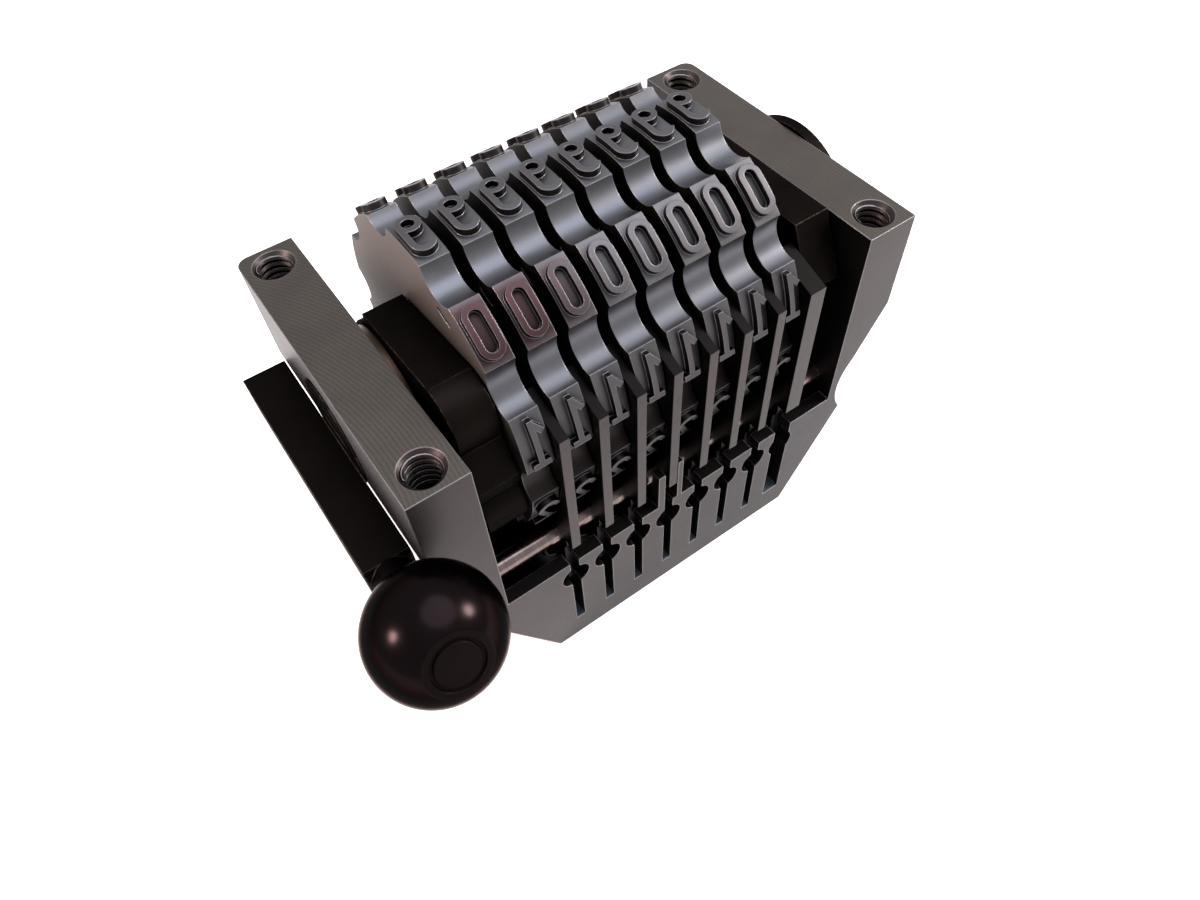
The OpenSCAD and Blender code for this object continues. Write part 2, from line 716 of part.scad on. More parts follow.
module cheek_screw(x0, inwards, reach) {
    color([0.2, 0.19, 0.19]) translate([x0, 0, axis_z]) rotate([0, inwards * 90, 0])
        difference() {
            union() {
                cylinder(r1 = screw_head_r, r2 = screw_r, h = screw_head_h, $fn = small_fn);
                cylinder(r = screw_r, h = reach, $fn = small_fn);
            }
            translate([-screw_slot_w / 2, -screw_head_r - overrun, -overrun])
                cube([screw_slot_w, 2 * (screw_head_r + overrun), screw_slot_d + overrun]);
        }
}

module lever_screw() { cheek_screw(lever_x, 1, shaft_x0 + screw_in - lever_x); }

module disc_screw() { cheek_screw(disc_x1, -1, disc_x1 - shaft_x1 + screw_in); }

module lever() {
    bottom = lever_z - lever_h / 2;
    color([0.11, 0.1, 0.1]) difference() {
        union() {
            slab(lever_x - lever_t, lever_x) polygon([
                [lever_front, bottom + lever_edge], [lever_front + lever_edge, bottom],
                [lever_back - lever_edge, bottom], [lever_back, bottom + lever_edge],
                [lever_back, bottom + lever_h - lever_edge], [lever_back - lever_edge, bottom + lever_h],
                [lever_front + lever_edge, bottom + lever_h], [lever_front, bottom + lever_h - lever_edge]]);
            bar_x(journal_r, lever_x, left_cheek_x, 0, axis_z, circle_fn);
            tongue(left_cheek_x - overrun, left_cheek_x + tongue_d, 0);
            neck_axis() translate([0, 0, -neck_r * tan(neck_tilt)])
                cylinder(r = neck_r, h = neck_l + neck_r * tan(neck_tilt), $fn = small_fn);
        }
        screw_hole(lever_x, 1);
        neck_axis() translate([0, 0, -stud_in])
            cylinder(r = stud_r + seat_clear, h = stud_in + neck_l + overrun, $fn = small_fn);
    }
}

// Along the neck, from the middle of the lever's front end to the ball
module neck_axis() {
    translate([neck_x, lever_front, neck_z]) rotate([90 - neck_tilt, 0, 0]) children();
}

module end_disc() {
    color([0.11, 0.1, 0.1]) difference() {
        union() {
            bar_x(end_disc_r, disc_x1 - end_disc_t, disc_x1, 0, axis_z, circle_fn);
            bar_x(journal_r, right_cheek_end, disc_x1 - end_disc_t, 0, axis_z, circle_fn);
            tongue(right_cheek_end - tongue_d, right_cheek_end + overrun, 0);
        }
        screw_hole(disc_x1, -1);
    }
}

module ball_stud() {
    color([0.16, 0.15, 0.15]) neck_axis() translate([0, 0, side_clear - stud_in])
        cylinder(r = stud_r, h = 2 * stud_in + neck_l - 2 * side_clear, $fn = small_fn);
}

module ball_knob() {
    ring_r = ball_flat_r * ball_ring_share;
    color([0.2, 0.18, 0.17]) neck_axis() translate([0, 0, ball_at]) difference() {
        sphere(r = ball_r, $fn = circle_fn);
        translate([-ball_r, -ball_r, ball_front]) cube(2 * ball_r);
        translate([-ball_r, -ball_r, neck_l - ball_at - 2 * ball_r]) cube(2 * ball_r);
        translate([0, 0, -ball_r])
            cylinder(r = stud_r + seat_clear, h = ball_r + neck_l - ball_at + stud_in, $fn = small_fn);
        translate([0, 0, ball_front - ball_ring_d]) difference() {
            cylinder(r = ring_r, h = ball_r, $fn = small_fn);
            cylinder(r = ring_r - ball_ring_w, h = ball_r, $fn = small_fn);
        }
    }
}

module drive_pin() {
    color([0.6, 0.6, 0.62]) bar_x(drive_pin_r, left_cheek_x + cheek_t - arm_t,
        return_x + return_spring_r, drive_pin_y, axis_z + drive_pin_z);
}

// One pawl with a finger for each ratchet, on the pin behind the wheels
module drive_pawl() {
    color([0.13, 0.12, 0.12]) difference() {
        union() {
            bar_x(drive_tube_r, drive_x0, drive_tube_x1, drive_pin_y, axis_z + drive_pin_z);
            translate([0, 0, axis_z]) slab(drive_x0, drive_tube_x1)
                arc_band(drive_inner_r, drive_inner_r + drive_web_t,
                    drive_step_angle, drive_root_angle);
            translate([0, 0, axis_z]) slab(drive_x0, drive_x1)
                arc_band(drive_inner_r, drive_inner_r + drive_web_t,
                    drive_top_angle, drive_step_angle);
            for (k = [1:WHEELS]) translate([0, 0, axis_z]) slab(pawl_x(k), pawl_x(k) + ratchet_t)
                arc_band(drive_tip_r, drive_inner_r + wire_r,
                    drive_top_angle + finger_angle / 2, drive_top_angle + 3 * finger_angle / 2, 4);
        }
        bar_x(drive_pin_r + run_clear, drive_x0 - overrun, drive_tube_x1 + overrun,
            drive_pin_y, axis_z + drive_pin_z);
    }
}

module drive_spring() {
    x0 = drive_tube_x1 + body_clear;
    x1 = drive_x1 + body_clear;
    color([0.5, 0.5, 0.52]) translate([0, drive_pin_y, axis_z + drive_pin_z])
        rotate([0, 90, 0]) wire(coil(coil_r, x0 + wire_r, x1 - wire_r, curl_pitch), [0, 0, 1]);
}

// From the post in the right plate to the drive pin, which it pulls down
module return_spring() {
    pin = [drive_pin_y, axis_z + drive_pin_z];
    post = [post_y, post_z];
    span = norm(pin - post);
    tilt = atan2(pin[1] - post[1], pin[0] - post[0]);
    hook_turn = 300;
    hook_steps = 16;
    post_hook_r = post_r + wire_r + seat_clear;
    r = return_spring_r - wire_r;
    body0 = post_hook_r + 2 * r;
    body1 = span - hook_r - 2 * r;
    // One loop round the post, the coil, and one loop round the pin, in the coil's own frame:
    // first number along the spring, second across it in the side view, third along X
    loop0 = [for (i = [0:hook_steps]) let (a = 180 + hook_turn * (1 - i / hook_steps) - 120)
        [post_hook_r * cos(a), post_hook_r * sin(a), 0]];
    turns = round((body1 - body0) / curl_pitch);
    n = turns * curl_rings;
    body = [for (i = [0:n]) [body0 + (body1 - body0) * i / n,
        -r * cos(360 * turns * i / n), r * sin(360 * turns * i / n)]];
    loop1 = [for (i = [0:hook_steps]) let (a = 180 + 60 - hook_turn * i / hook_steps)
        [span + hook_r * cos(a), hook_r * sin(a), 0]];
    color([0.5, 0.5, 0.52]) translate([return_x, post_y, post_z]) rotate([tilt, 0, 0])
        multmatrix([[0, 0, 1, 0], [1, 0, 0, 0], [0, 1, 0, 0], [0, 0, 0, 1]])
            wire(concat(loop0, body, loop1), [0.1, 0.2, 1]);
}

module spring_post() {
    color([0.6, 0.6, 0.62])
        bar_x(post_r, return_x - return_spring_r, inner_x + post_in, post_y, post_z);
}

// The pin that the left cheek's rear arm rests on
module stop_pin() {
    color([0.6, 0.6, 0.62])
        bar_x(stop_r, -waist_x, left_cheek_x + cheek_t - side_clear, stop_place[0], stop_place[1]);
}

main_frame();
wheel_shaft();
for (k = [1:WHEELS]) {
    figure_wheel(k);
    ratchet(k);
    retaining_pawl(k);
    pawl_spring(k);
}
pawl_rod();
left_cheek();
right_cheek();
left_washer();
right_washer();
lever();
lever_screw();
ball_stud();
ball_knob();
end_disc();
disc_screw();
drive_pin();
drive_pawl();
drive_spring();
return_spring();
spring_post();
stop_pin();
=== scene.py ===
import math

import bmesh
import bpy
from mathutils import Euler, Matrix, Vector


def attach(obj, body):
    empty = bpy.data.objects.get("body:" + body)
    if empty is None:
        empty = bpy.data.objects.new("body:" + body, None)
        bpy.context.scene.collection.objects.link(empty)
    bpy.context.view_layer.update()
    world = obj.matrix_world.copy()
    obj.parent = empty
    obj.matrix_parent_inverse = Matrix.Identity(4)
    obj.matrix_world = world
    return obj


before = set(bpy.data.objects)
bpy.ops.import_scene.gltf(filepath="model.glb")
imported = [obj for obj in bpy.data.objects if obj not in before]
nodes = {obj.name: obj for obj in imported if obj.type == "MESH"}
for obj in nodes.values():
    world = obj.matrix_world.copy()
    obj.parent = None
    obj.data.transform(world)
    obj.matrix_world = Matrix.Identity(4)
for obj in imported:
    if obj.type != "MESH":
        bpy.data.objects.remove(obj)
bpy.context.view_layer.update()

# The viewpoint: a camera held in front, to the left and above, 9 cm from the middle of the box,
# looking down past the ball at the figures. Its field is that of a 26 mm lens on 36 mm film.
camera_data = bpy.data.cameras.new("viewpoint")
camera_data.lens = 26.04
camera_data.sensor_width = 36.0
camera_data.clip_start = 0.005
camera = bpy.data.objects.new("viewpoint", camera_data)
camera.location = (-0.0333, -0.05426, 0.0933)
camera.rotation_euler = Euler((math.radians(35.741), math.radians(2.197), math.radians(-35.487)))
bpy.context.scene.collection.objects.link(camera)
bpy.context.scene.camera = camera
bpy.context.scene.view_settings.view_transform = "Standard"

# The table: a pale matt sheet under the box. It shows white to the camera and in reflections and
# keeps the box's soft shadow, because its glow only tops up the light that falls on it.
SHEET_HALF = 2.0
BELOW_BOX = 0.00005
TOP_UP = 0.42
floor_mesh = bpy.data.meshes.new("floor")
sheet = bmesh.new()
bmesh.ops.create_grid(sheet, x_segments=1, y_segments=1, size=SHEET_HALF)
bmesh.ops.translate(sheet, verts=sheet.verts, vec=(0, 0, -BELOW_BOX))
sheet.to_mesh(floor_mesh)
sheet.free()
floor = bpy.data.objects.new("floor", floor_mesh)
bpy.context.scene.collection.objects.link(floor)


def linear(hex_colour):
    """An sRGB hex colour as the linear RGBA that sockets take."""
    parts = [int(hex_colour[i:i + 2], 16) / 255 for i in (1, 3, 5)]
    return [c / 12.92 if c <= 0.04045 else ((c + 0.055) / 1.055) ** 2.4 for c in parts] + [1.0]


def add(material, kind, inputs=None, **settings):
    """Adds one node, sets its properties, and fills its inputs with values or links."""
    new = material.node_tree.nodes.new(kind)
    for name, value in settings.items():
        setattr(new, name, value)
    for name, value in (inputs or {}).items():
        if isinstance(value, bpy.types.NodeSocket):
            material.node_tree.links.new(value, new.inputs[name])
        else:
            new.inputs[name].default_value = value
    return new


def blank(material):
    """Empties the node tree of a new material or world, and gives it back."""
    material.use_nodes = True
    material.node_tree.nodes.clear()
    return material


paper = blank(bpy.data.materials.new("matt_white_paper"))
path = add(paper, "ShaderNodeLightPath")
shown = add(paper, "ShaderNodeMath", {0: path.outputs["Is Camera Ray"],
                                      1: path.outputs["Is Glossy Ray"]}, operation="ADD")
shown = add(paper, "ShaderNodeMath", {0: shown.outputs[0], 1: path.outputs["Is Transmission Ray"]},
            operation="ADD", use_clamp=True)
matt = add(paper, "ShaderNodeBsdfDiffuse", {"Color": linear("#f2f2f2")})
glow = add(paper, "ShaderNodeMath", {0: shown.outputs[0], 1: TOP_UP}, operation="MULTIPLY")
lift = add(paper, "ShaderNodeEmission", {"Color": linear("#ffffff"), "Strength": glow.outputs[0]})
both = add(paper, "ShaderNodeAddShader", {0: matt.outputs[0], 1: lift.outputs[0]})
add(paper, "ShaderNodeOutputMaterial", {"Surface": both.outputs[0]})
floor_mesh.materials.append(paper)

# The room: even white walls, a window lamp at the left and one at the right, which give the ball
# its two highlights, and a cool ceiling lamp that lights the hollows between the figures.
WALL_LIGHT = 0.5
AIM = Vector((0, 0, 0.02))
room = blank(bpy.data.worlds.new("white_room"))
path = add(room, "ShaderNodeLightPath")
shown = add(room, "ShaderNodeMath", {0: path.outputs["Is Camera Ray"],
                                     1: path.outputs["Is Transmission Ray"]}, operation="ADD",
            use_clamp=True)
seen = add(room, "ShaderNodeMath", {0: shown.outputs[0], 1: path.outputs["Is Glossy Ray"]},
           operation="ADD", use_clamp=True)
level = add(room, "ShaderNodeMapRange", {"Value": seen.outputs[0], "To Min": WALL_LIGHT,
                                         "To Max": 1.0})
sky = add(room, "ShaderNodeBackground", {"Color": linear("#ffffff"), "Strength": level.outputs[0]})
add(room, "ShaderNodeOutputWorld", {"Surface": sky.outputs[0]})
bpy.context.scene.world = room
for name, place, size, power, colour in (
        ("left_window", (-0.44, 0.077, 0.295), 0.1, 2.8, "#ffe8de"),
        ("right_window", (0.43, -0.14, 0.305), 0.13, 3.4, "#fff7f0"),
        ("ceiling_lamp", (0.14, -0.03, 0.6), 0.55, 3.0, "#ecf1fb")):
    lamp_data = bpy.data.lights.new(name, "AREA")
    lamp_data.shape = "DISK"
    lamp_data.size = size
    lamp_data.energy = power
    lamp_data.color = linear(colour)[:3]
    lamp = bpy.data.objects.new(name, lamp_data)
    lamp.location = place
    lamp.rotation_euler = (AIM - Vector(place)).to_track_quat("-Z", "Y").to_euler()
    bpy.context.scene.collection.objects.link(lamp)

# The frame: one block of tool steel, milled to a U with a comb across its front, then ground
# bright on its outside; its faces inside the U are coloured near black. Plate tops carry the
# cutter's fine arcs, the front carries upright grinding lines, and every edge is coloured
# bright, partly as wear and partly as a painted highlight.
INNER = 0.02136
FRONT = -0.01697
BACK = 0.01695
FOOT_X = 0.0164
FOOT_TOP = 0.0035
SLOTS_BELOW = 0.0062
PLATE_TOP = 0.03895
HOLE_X = 0.024225
HOLE_Y = 0.0144
HOLE_TOP = 0.03875
HOLE_END = 0.029
BORE = 0.00165
MARGIN = 0.00005
UNDERSIDE = -0.2
LEVEL = 0.4
ground = blank(bpy.data.materials.new("ground_tool_steel"))
place = add(ground, "ShaderNodeTexCoord")
shape = add(ground, "ShaderNodeNewGeometry")
axes = add(ground, "ShaderNodeSeparateXYZ", {0: place.outputs["Object"]})
aside = add(ground, "ShaderNodeMath", {0: axes.outputs["X"]}, operation="ABSOLUTE")
between = add(ground, "ShaderNodeMath", {0: aside.outputs[0], 1: INNER}, operation="LESS_THAN")
behind = add(ground, "ShaderNodeMath", {0: axes.outputs["Y"], 1: FRONT}, operation="GREATER_THAN")
above = add(ground, "ShaderNodeMath", {0: axes.outputs["Z"], 1: FOOT_TOP}, operation="GREATER_THAN")
inside = add(ground, "ShaderNodeMath", {0: between.outputs[0], 1: behind.outputs[0]},
             operation="MULTIPLY")
inside = add(ground, "ShaderNodeMath", {0: inside.outputs[0], 1: above.outputs[0]},
             operation="MULTIPLY")
facing = add(ground, "ShaderNodeSeparateXYZ", {0: place.outputs["Normal"]})
before_back = add(ground, "ShaderNodeMath", {0: axes.outputs["Y"], 1: BACK}, operation="LESS_THAN")
inside = add(ground, "ShaderNodeMath", {0: inside.outputs[0], 1: before_back.outputs[0]},
             operation="MULTIPLY")
down = add(ground, "ShaderNodeMath", {0: facing.outputs["Z"], 1: UNDERSIDE}, operation="LESS_THAN")
wide = add(ground, "ShaderNodeMath", {0: aside.outputs[0], 1: FOOT_X}, operation="GREATER_THAN")
slope = add(ground, "ShaderNodeMath", {0: down.outputs[0], 1: wide.outputs[0]},
            operation="MULTIPLY")
inside = add(ground, "ShaderNodeMath", {0: inside.outputs[0], 1: slope.outputs[0]},
             operation="SUBTRACT", use_clamp=True)
# Grinding lines, 2.4 mm long and 0.07 mm apart: coarser than the grit leaves them, so that they
# show.
upright = add(ground, "ShaderNodeMapping", {0: place.outputs["Object"],
                                            "Scale": (14000, 14000, 420)})
lines = add(ground, "ShaderNodeTexNoise", {"Vector": upright.outputs[0], "Scale": 1.0,
                                           "Detail": 3.0})
# The cutter's arcs, 0.4 mm apart, about a centre 60 mm to the left: a quarter of the tops' marks.
turned = add(ground, "ShaderNodeMapping", {0: place.outputs["Object"],
                                           "Location": (0.06, 0.012, 0)})
arcs = add(ground, "ShaderNodeTexWave", {"Vector": turned.outputs[0], "Scale": 800.0,
                                         "Distortion": 2.2, "Detail": 3.0, "Detail Scale": 0.45,
                                         "Detail Roughness": 0.6}, wave_type="RINGS",
           rings_direction="Z")
streaks = add(ground, "ShaderNodeMix", {"Factor": 0.74, 2: arcs.outputs["Fac"],
                                        3: lines.outputs["Fac"]})
on_top = add(ground, "ShaderNodeMath", {0: axes.outputs["Z"], 1: PLATE_TOP},
             operation="GREATER_THAN")
marks = add(ground, "ShaderNodeMix", {"Factor": on_top.outputs[0], 2: lines.outputs["Fac"],
                                      3: streaks.outputs[0]})
# Clouds of handling, 5 mm across.
patches = add(ground, "ShaderNodeTexNoise", {"Vector": place.outputs["Object"], "Scale": 210.0,
                                             "Detail": 4.0})
# Painted light and shade: the front gets a darker, pinker copy of the steel's colour and the plate
# tops a lighter one, for the light that falls on each.
front = add(ground, "ShaderNodeMix", {"Factor": marks.outputs[0], 6: linear("#221d1e"),
                                      7: linear("#362e30")}, data_type="RGBA")
top = add(ground, "ShaderNodeMix", {"Factor": marks.outputs[0], 6: linear("#35312e"),
                                    7: linear("#5d5751")}, data_type="RGBA")
tone = add(ground, "ShaderNodeMix", {"Factor": on_top.outputs[0], 6: front.outputs[2],
                                     7: top.outputs[2]}, data_type="RGBA")
cloud = add(ground, "ShaderNodeMapRange", {"Value": patches.outputs["Fac"], "From Min": 0.3,
                                           "From Max": 0.7, "To Max": 0.4})
tone = add(ground, "ShaderNodeMix", {"Factor": cloud.outputs[0], 6: tone.outputs[2],
                                     7: linear("#3e3839")}, data_type="RGBA")
# Painted reflection: the upward-facing floors of the comb's slots are coloured bright and bluish
# for the light they catch.
low = add(ground, "ShaderNodeMath", {0: axes.outputs["Z"], 1: SLOTS_BELOW}, operation="LESS_THAN")
level = add(ground, "ShaderNodeMath", {0: facing.outputs["Z"], 1: LEVEL}, operation="GREATER_THAN")
lit_slot_floor = add(ground, "ShaderNodeMath", {0: low.outputs[0], 1: level.outputs[0]}, operation="MULTIPLY")
walls = add(ground, "ShaderNodeMix", {"Factor": lit_slot_floor.outputs[0], 6: linear("#171313"),
                                      7: linear("#626a75")}, data_type="RGBA")
# Edges coloured bright over 0.16 mm: partly wear, partly a painted highlight.
rounded = add(ground, "ShaderNodeBevel", {"Radius": 0.00016}, samples=6)
turn = add(ground, "ShaderNodeVectorMath", {0: rounded.outputs[0], 1: shape.outputs["Normal"]},
           operation="DOT_PRODUCT")
edge = add(ground, "ShaderNodeMapRange", {"Value": turn.outputs["Value"], "From Min": 0.985,
                                          "From Max": 0.9, "To Max": 0.8})
dark = add(ground, "ShaderNodeMix", {"Factor": inside.outputs[0], 6: tone.outputs[2],
                                     7: walls.outputs[2]}, data_type="RGBA")
# Painted shade: the bores of the mounting holes and their threads are coloured dark, for the shade
# inside them.
beside = add(ground, "ShaderNodeMath", {0: aside.outputs[0], 1: HOLE_X}, operation="SUBTRACT")
along = add(ground, "ShaderNodeMath", {0: axes.outputs["Y"]}, operation="ABSOLUTE")
along = add(ground, "ShaderNodeMath", {0: along.outputs[0], 1: HOLE_Y}, operation="SUBTRACT")
from_hole = add(ground, "ShaderNodeCombineXYZ", {"X": beside.outputs[0], "Y": along.outputs[0]})
from_hole = add(ground, "ShaderNodeVectorMath", {0: from_hole.outputs[0]}, operation="LENGTH")
near = add(ground, "ShaderNodeMath", {0: from_hole.outputs["Value"], 1: BORE + MARGIN},
           operation="LESS_THAN")
under = add(ground, "ShaderNodeMath", {0: axes.outputs["Z"], 1: HOLE_TOP}, operation="LESS_THAN")
hole_shade = add(ground, "ShaderNodeMath", {0: near.outputs[0], 1: under.outputs[0]},
           operation="MULTIPLY")
drilled = add(ground, "ShaderNodeMath", {0: axes.outputs["Z"], 1: HOLE_END},
              operation="GREATER_THAN")
hole_shade = add(ground, "ShaderNodeMath", {0: hole_shade.outputs[0], 1: drilled.outputs[0]},
           operation="MULTIPLY")
dark = add(ground, "ShaderNodeMix", {"Factor": hole_shade.outputs[0], 6: dark.outputs[2],
                                     7: linear("#241f1d")}, data_type="RGBA")
final = add(ground, "ShaderNodeMix", {"Factor": edge.outputs[0], 6: dark.outputs[2],
                                      7: linear("#8f8a8c")}, data_type="RGBA")
sheen = add(ground, "ShaderNodeMapRange", {"Value": marks.outputs[0], "To Min": 0.34,
                                           "To Max": 0.52})
depth = add(ground, "ShaderNodeBump", {"Height": marks.outputs[0], "Strength": 0.2,
                                       "Distance": 0.00002, "Normal": rounded.outputs[0]})
metal = add(ground, "ShaderNodeBsdfPrincipled", {"Base Color": final.outputs[2], "Metallic": 0.9,
                                                 "Roughness": sheen.outputs[0],
                                                 "Normal": depth.outputs[0]})
add(ground, "ShaderNodeOutputMaterial", {"Surface": metal.outputs[0]})


def dress(names, material):
    """Gives CAD nodes their finish."""
    for name in names:
        nodes[name].data.materials.clear()
        nodes[name].data.materials.append(material)


dress(["main_frame"], ground)

# Threads: the four mounting holes are tapped M4, and the ridge of the thread winds up each bore.
# Same steel as the frame; its crests catch the light as fine rings.
THREAD_PITCH = 0.0007
THREAD_LOW = 0.0345
IN_WALL = 0.00003
RIDGE = 0.0002
RIDGE_W = 0.8 * THREAD_PITCH
TURNS = 5.5
STEPS = 32
threads_mesh = bpy.data.meshes.new("mounting_threads")
threads = bmesh.new()
for x in (-HOLE_X, HOLE_X):
    for y in (-HOLE_Y, HOLE_Y):
        corners = [threads.verts.new((x + r, y, z)) for r, z in (
            (BORE + IN_WALL, THREAD_LOW), (BORE - RIDGE, THREAD_LOW + RIDGE_W / 2),
            (BORE + IN_WALL, THREAD_LOW + RIDGE_W))]
        section = threads.faces.new(corners)
        bmesh.ops.spin(threads, geom=corners + list(section.edges) + [section], cent=(x, y, 0),
                       axis=(0, 0, 1), dvec=(0, 0, THREAD_PITCH / STEPS),
                       angle=math.radians(360 * TURNS), steps=int(STEPS * TURNS))
bmesh.ops.recalc_face_normals(threads, faces=threads.faces)
threads.to_mesh(threads_mesh)
threads.free()
mounting_threads = bpy.data.objects.new("mounting_threads", threads_mesh)
bpy.context.scene.collection.objects.link(mounting_threads)
threads_mesh.materials.append(ground)
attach(mounting_threads, "frame")

# Rods and pins: drawn steel bar, cut to length and pressed in. Bright, with faint lines around,
# a little pink from the worn film of oil.
drawn = blank(bpy.data.materials.new("drawn_steel_bar"))
place = add(drawn, "ShaderNodeTexCoord")
# Lines around the bar, 0.24 mm apart.
along = add(drawn, "ShaderNodeMapping", {0: place.outputs["Object"], "Scale": (4200, 500, 500)})
rings = add(drawn, "ShaderNodeTexNoise", {"Vector": along.outputs[0], "Scale": 1.0, "Detail": 2.0})
tone = add(drawn, "ShaderNodeMix", {"Factor": rings.outputs["Fac"], 6: linear("#544745"),
                                    7: linear("#807270")}, data_type="RGBA")
metal = add(drawn, "ShaderNodeBsdfPrincipled", {"Base Color": tone.outputs[2], "Metallic": 1.0,
                                                "Roughness": 0.24})
add(drawn, "ShaderNodeOutputMaterial", {"Surface": metal.outputs[0]})
dress(["pawl_rod", "wheel_shaft", "drive_pin", "stop_pin", "spring_post"], drawn)

# Cheeks, ratchets, drive pawl, lever, end disc, their screws and the ball's stud: case-hardened
# steel, blackened in hot salts and oiled. Almost black with a brown cast, and rubbed to bare steel
# along the edges that get handled.
black = blank(bpy.data.materials.new("blackened_steel"))
place = add(black, "ShaderNodeTexCoord")
# Patches of oil, 3 mm across, and specks of wear, 0.4 mm across.
patches = add(black, "ShaderNodeTexNoise", {"Vector": place.outputs["Object"], "Scale": 330.0,
                                            "Detail": 5.0})
specks = add(black, "ShaderNodeTexNoise", {"Vector": place.outputs["Object"], "Scale": 2600.0,
                                           "Detail": 3.0})
tone = add(black, "ShaderNodeMix", {"Factor": patches.outputs["Fac"], 6: linear("#0e0b0a"),
                                    7: linear("#171311")}, data_type="RGBA")
# Painted shade: darker where other parts lie close, in corners and recesses.
open_to = add(black, "ShaderNodeAmbientOcclusion", {"Distance": 0.008}, samples=8)
occlusion_shade = add(black, "ShaderNodeMapRange", {"Value": open_to.outputs["AO"], "From Min": 0.3,
                                          "From Max": 0.9, "To Min": 0.8, "To Max": 0.0})
tone = add(black, "ShaderNodeMix", {"Factor": occlusion_shade.outputs[0], 6: tone.outputs[2],
                                    7: linear("#050404")}, data_type="RGBA")
rounded = add(black, "ShaderNodeBevel", {"Radius": 0.0002}, samples=6)
shape = add(black, "ShaderNodeNewGeometry")
turn = add(black, "ShaderNodeVectorMath", {0: rounded.outputs[0], 1: shape.outputs["Normal"]},
           operation="DOT_PRODUCT")
edge = add(black, "ShaderNodeMapRange", {"Value": turn.outputs["Value"], "From Min": 0.98,
                                         "From Max": 0.88})
worn = add(black, "ShaderNodeMath", {0: edge.outputs[0], 1: specks.outputs["Fac"]},
           operation="MULTIPLY")
worn = add(black, "ShaderNodeMath", {0: worn.outputs[0], 1: patches.outputs["Fac"]},
           operation="MULTIPLY")
worn = add(black, "ShaderNodeMapRange", {"Value": worn.outputs[0], "From Min": 0.14,
                                         "From Max": 0.5})
final = add(black, "ShaderNodeMix", {"Factor": worn.outputs[0], 6: tone.outputs[2],
                                     7: linear("#5a524c")}, data_type="RGBA")
sheen = add(black, "ShaderNodeMapRange", {"Value": patches.outputs["Fac"], "To Min": 0.34,
                                          "To Max": 0.55})
depth = add(black, "ShaderNodeBump", {"Height": specks.outputs["Fac"], "Strength": 0.2,
                                      "Distance": 0.00002, "Normal": rounded.outputs[0]})
metal = add(black, "ShaderNodeBsdfPrincipled", {"Base Color": final.outputs[2], "Metallic": 0.93,
                                                "Specular Tint": linear("#8a8684"),
                                                "Roughness": sheen.outputs[0],
                                                "Normal": depth.outputs[0]})
add(black, "ShaderNodeOutputMaterial", {"Surface": metal.outputs[0]})
dress(["left_cheek", "right_cheek", "drive_pawl", "lever", "lever_screw", "end_disc", "disc_screw",
       "ball_stud"] + [f"ratchet_{k}" for k in range(1, 9)], black)

# Figure wheels: hardened steel, hobbed with ten pads and engraved in relief, then polished on the
# rim by paper and ink. Bluish bright metal, brown on three of the noughts, with painted shade in
# the corners, on the figures' flanks, on the sides in the gaps and low on the front, and painted
# light in the hollows between the pads.
AXIS_Z = 0.0309
PAD = 0.0162
PAD_STEP = math.radians(36)
PAD_LOW = PAD - 0.0003
FACE_LOW = PAD + 0.0003
HOLLOW_TOP = PAD - 0.0001
HOLLOW_DEEP = PAD - 0.0012
FIRST_SIDE = -0.0163
BROWN_ENDS_X = -0.003
BROWN_FULL_X = -0.010
BROWN_ENDS = math.radians(12)
BROWN_FULL = math.radians(8)
SHADE_STARTS_Z = 0.0085
SHADE_FULL_Z = -0.0005
SHADE_STARTS_Y = -0.003
SHADE_FULL_Y = -0.008
wheel_steel = blank(bpy.data.materials.new("engraved_wheel_steel"))
place = add(wheel_steel, "ShaderNodeTexCoord")
centred = add(wheel_steel, "ShaderNodeMapping", {0: place.outputs["Object"],
                                                 "Location": (0, 0, -AXIS_Z)})
axes = add(wheel_steel, "ShaderNodeSeparateXYZ", {0: centred.outputs[0]})
flat = add(wheel_steel, "ShaderNodeCombineXYZ", {"Y": axes.outputs["Y"], "Z": axes.outputs["Z"]})
reach = add(wheel_steel, "ShaderNodeVectorMath", {0: flat.outputs[0]}, operation="LENGTH")
outwards = add(wheel_steel, "ShaderNodeVectorMath", {0: flat.outputs[0]}, operation="NORMALIZE")
facing = add(wheel_steel, "ShaderNodeVectorMath", {0: outwards.outputs[0],
                                                   1: place.outputs["Normal"]},
             operation="DOT_PRODUCT")
# The figures' steep flanks, coloured dark as painted shade on the sides of the raised figures.
steep = add(wheel_steel, "ShaderNodeMath", {0: facing.outputs["Value"], 1: 0.7},
            operation="LESS_THAN")
proud = add(wheel_steel, "ShaderNodeMath", {0: reach.outputs["Value"], 1: PAD + MARGIN},
            operation="GREATER_THAN")
flank = add(wheel_steel, "ShaderNodeMath", {0: steep.outputs[0], 1: proud.outputs[0]},
            operation="MULTIPLY")
# The wheels' flat sides: the first one shows and is rubbed; the others face into the narrow gaps
# between the wheels and are coloured near black, as painted shade.
turned = add(wheel_steel, "ShaderNodeSeparateXYZ", {0: place.outputs["Normal"]})
sideways = add(wheel_steel, "ShaderNodeMath", {0: turned.outputs["X"]}, operation="ABSOLUTE")
side = add(wheel_steel, "ShaderNodeMath", {0: sideways.outputs[0], 1: 0.9},
           operation="GREATER_THAN")
first = add(wheel_steel, "ShaderNodeMath", {0: axes.outputs["X"], 1: FIRST_SIDE},
            operation="LESS_THAN")
# The figures' faces, and the hollows between the pads, which are painted lighter.
raised = add(wheel_steel, "ShaderNodeMath", {0: reach.outputs["Value"], 1: FACE_LOW},
             operation="GREATER_THAN")
hollow = add(wheel_steel, "ShaderNodeMapRange", {"Value": reach.outputs["Value"],
                                                 "From Min": HOLLOW_TOP, "From Max": HOLLOW_DEEP})
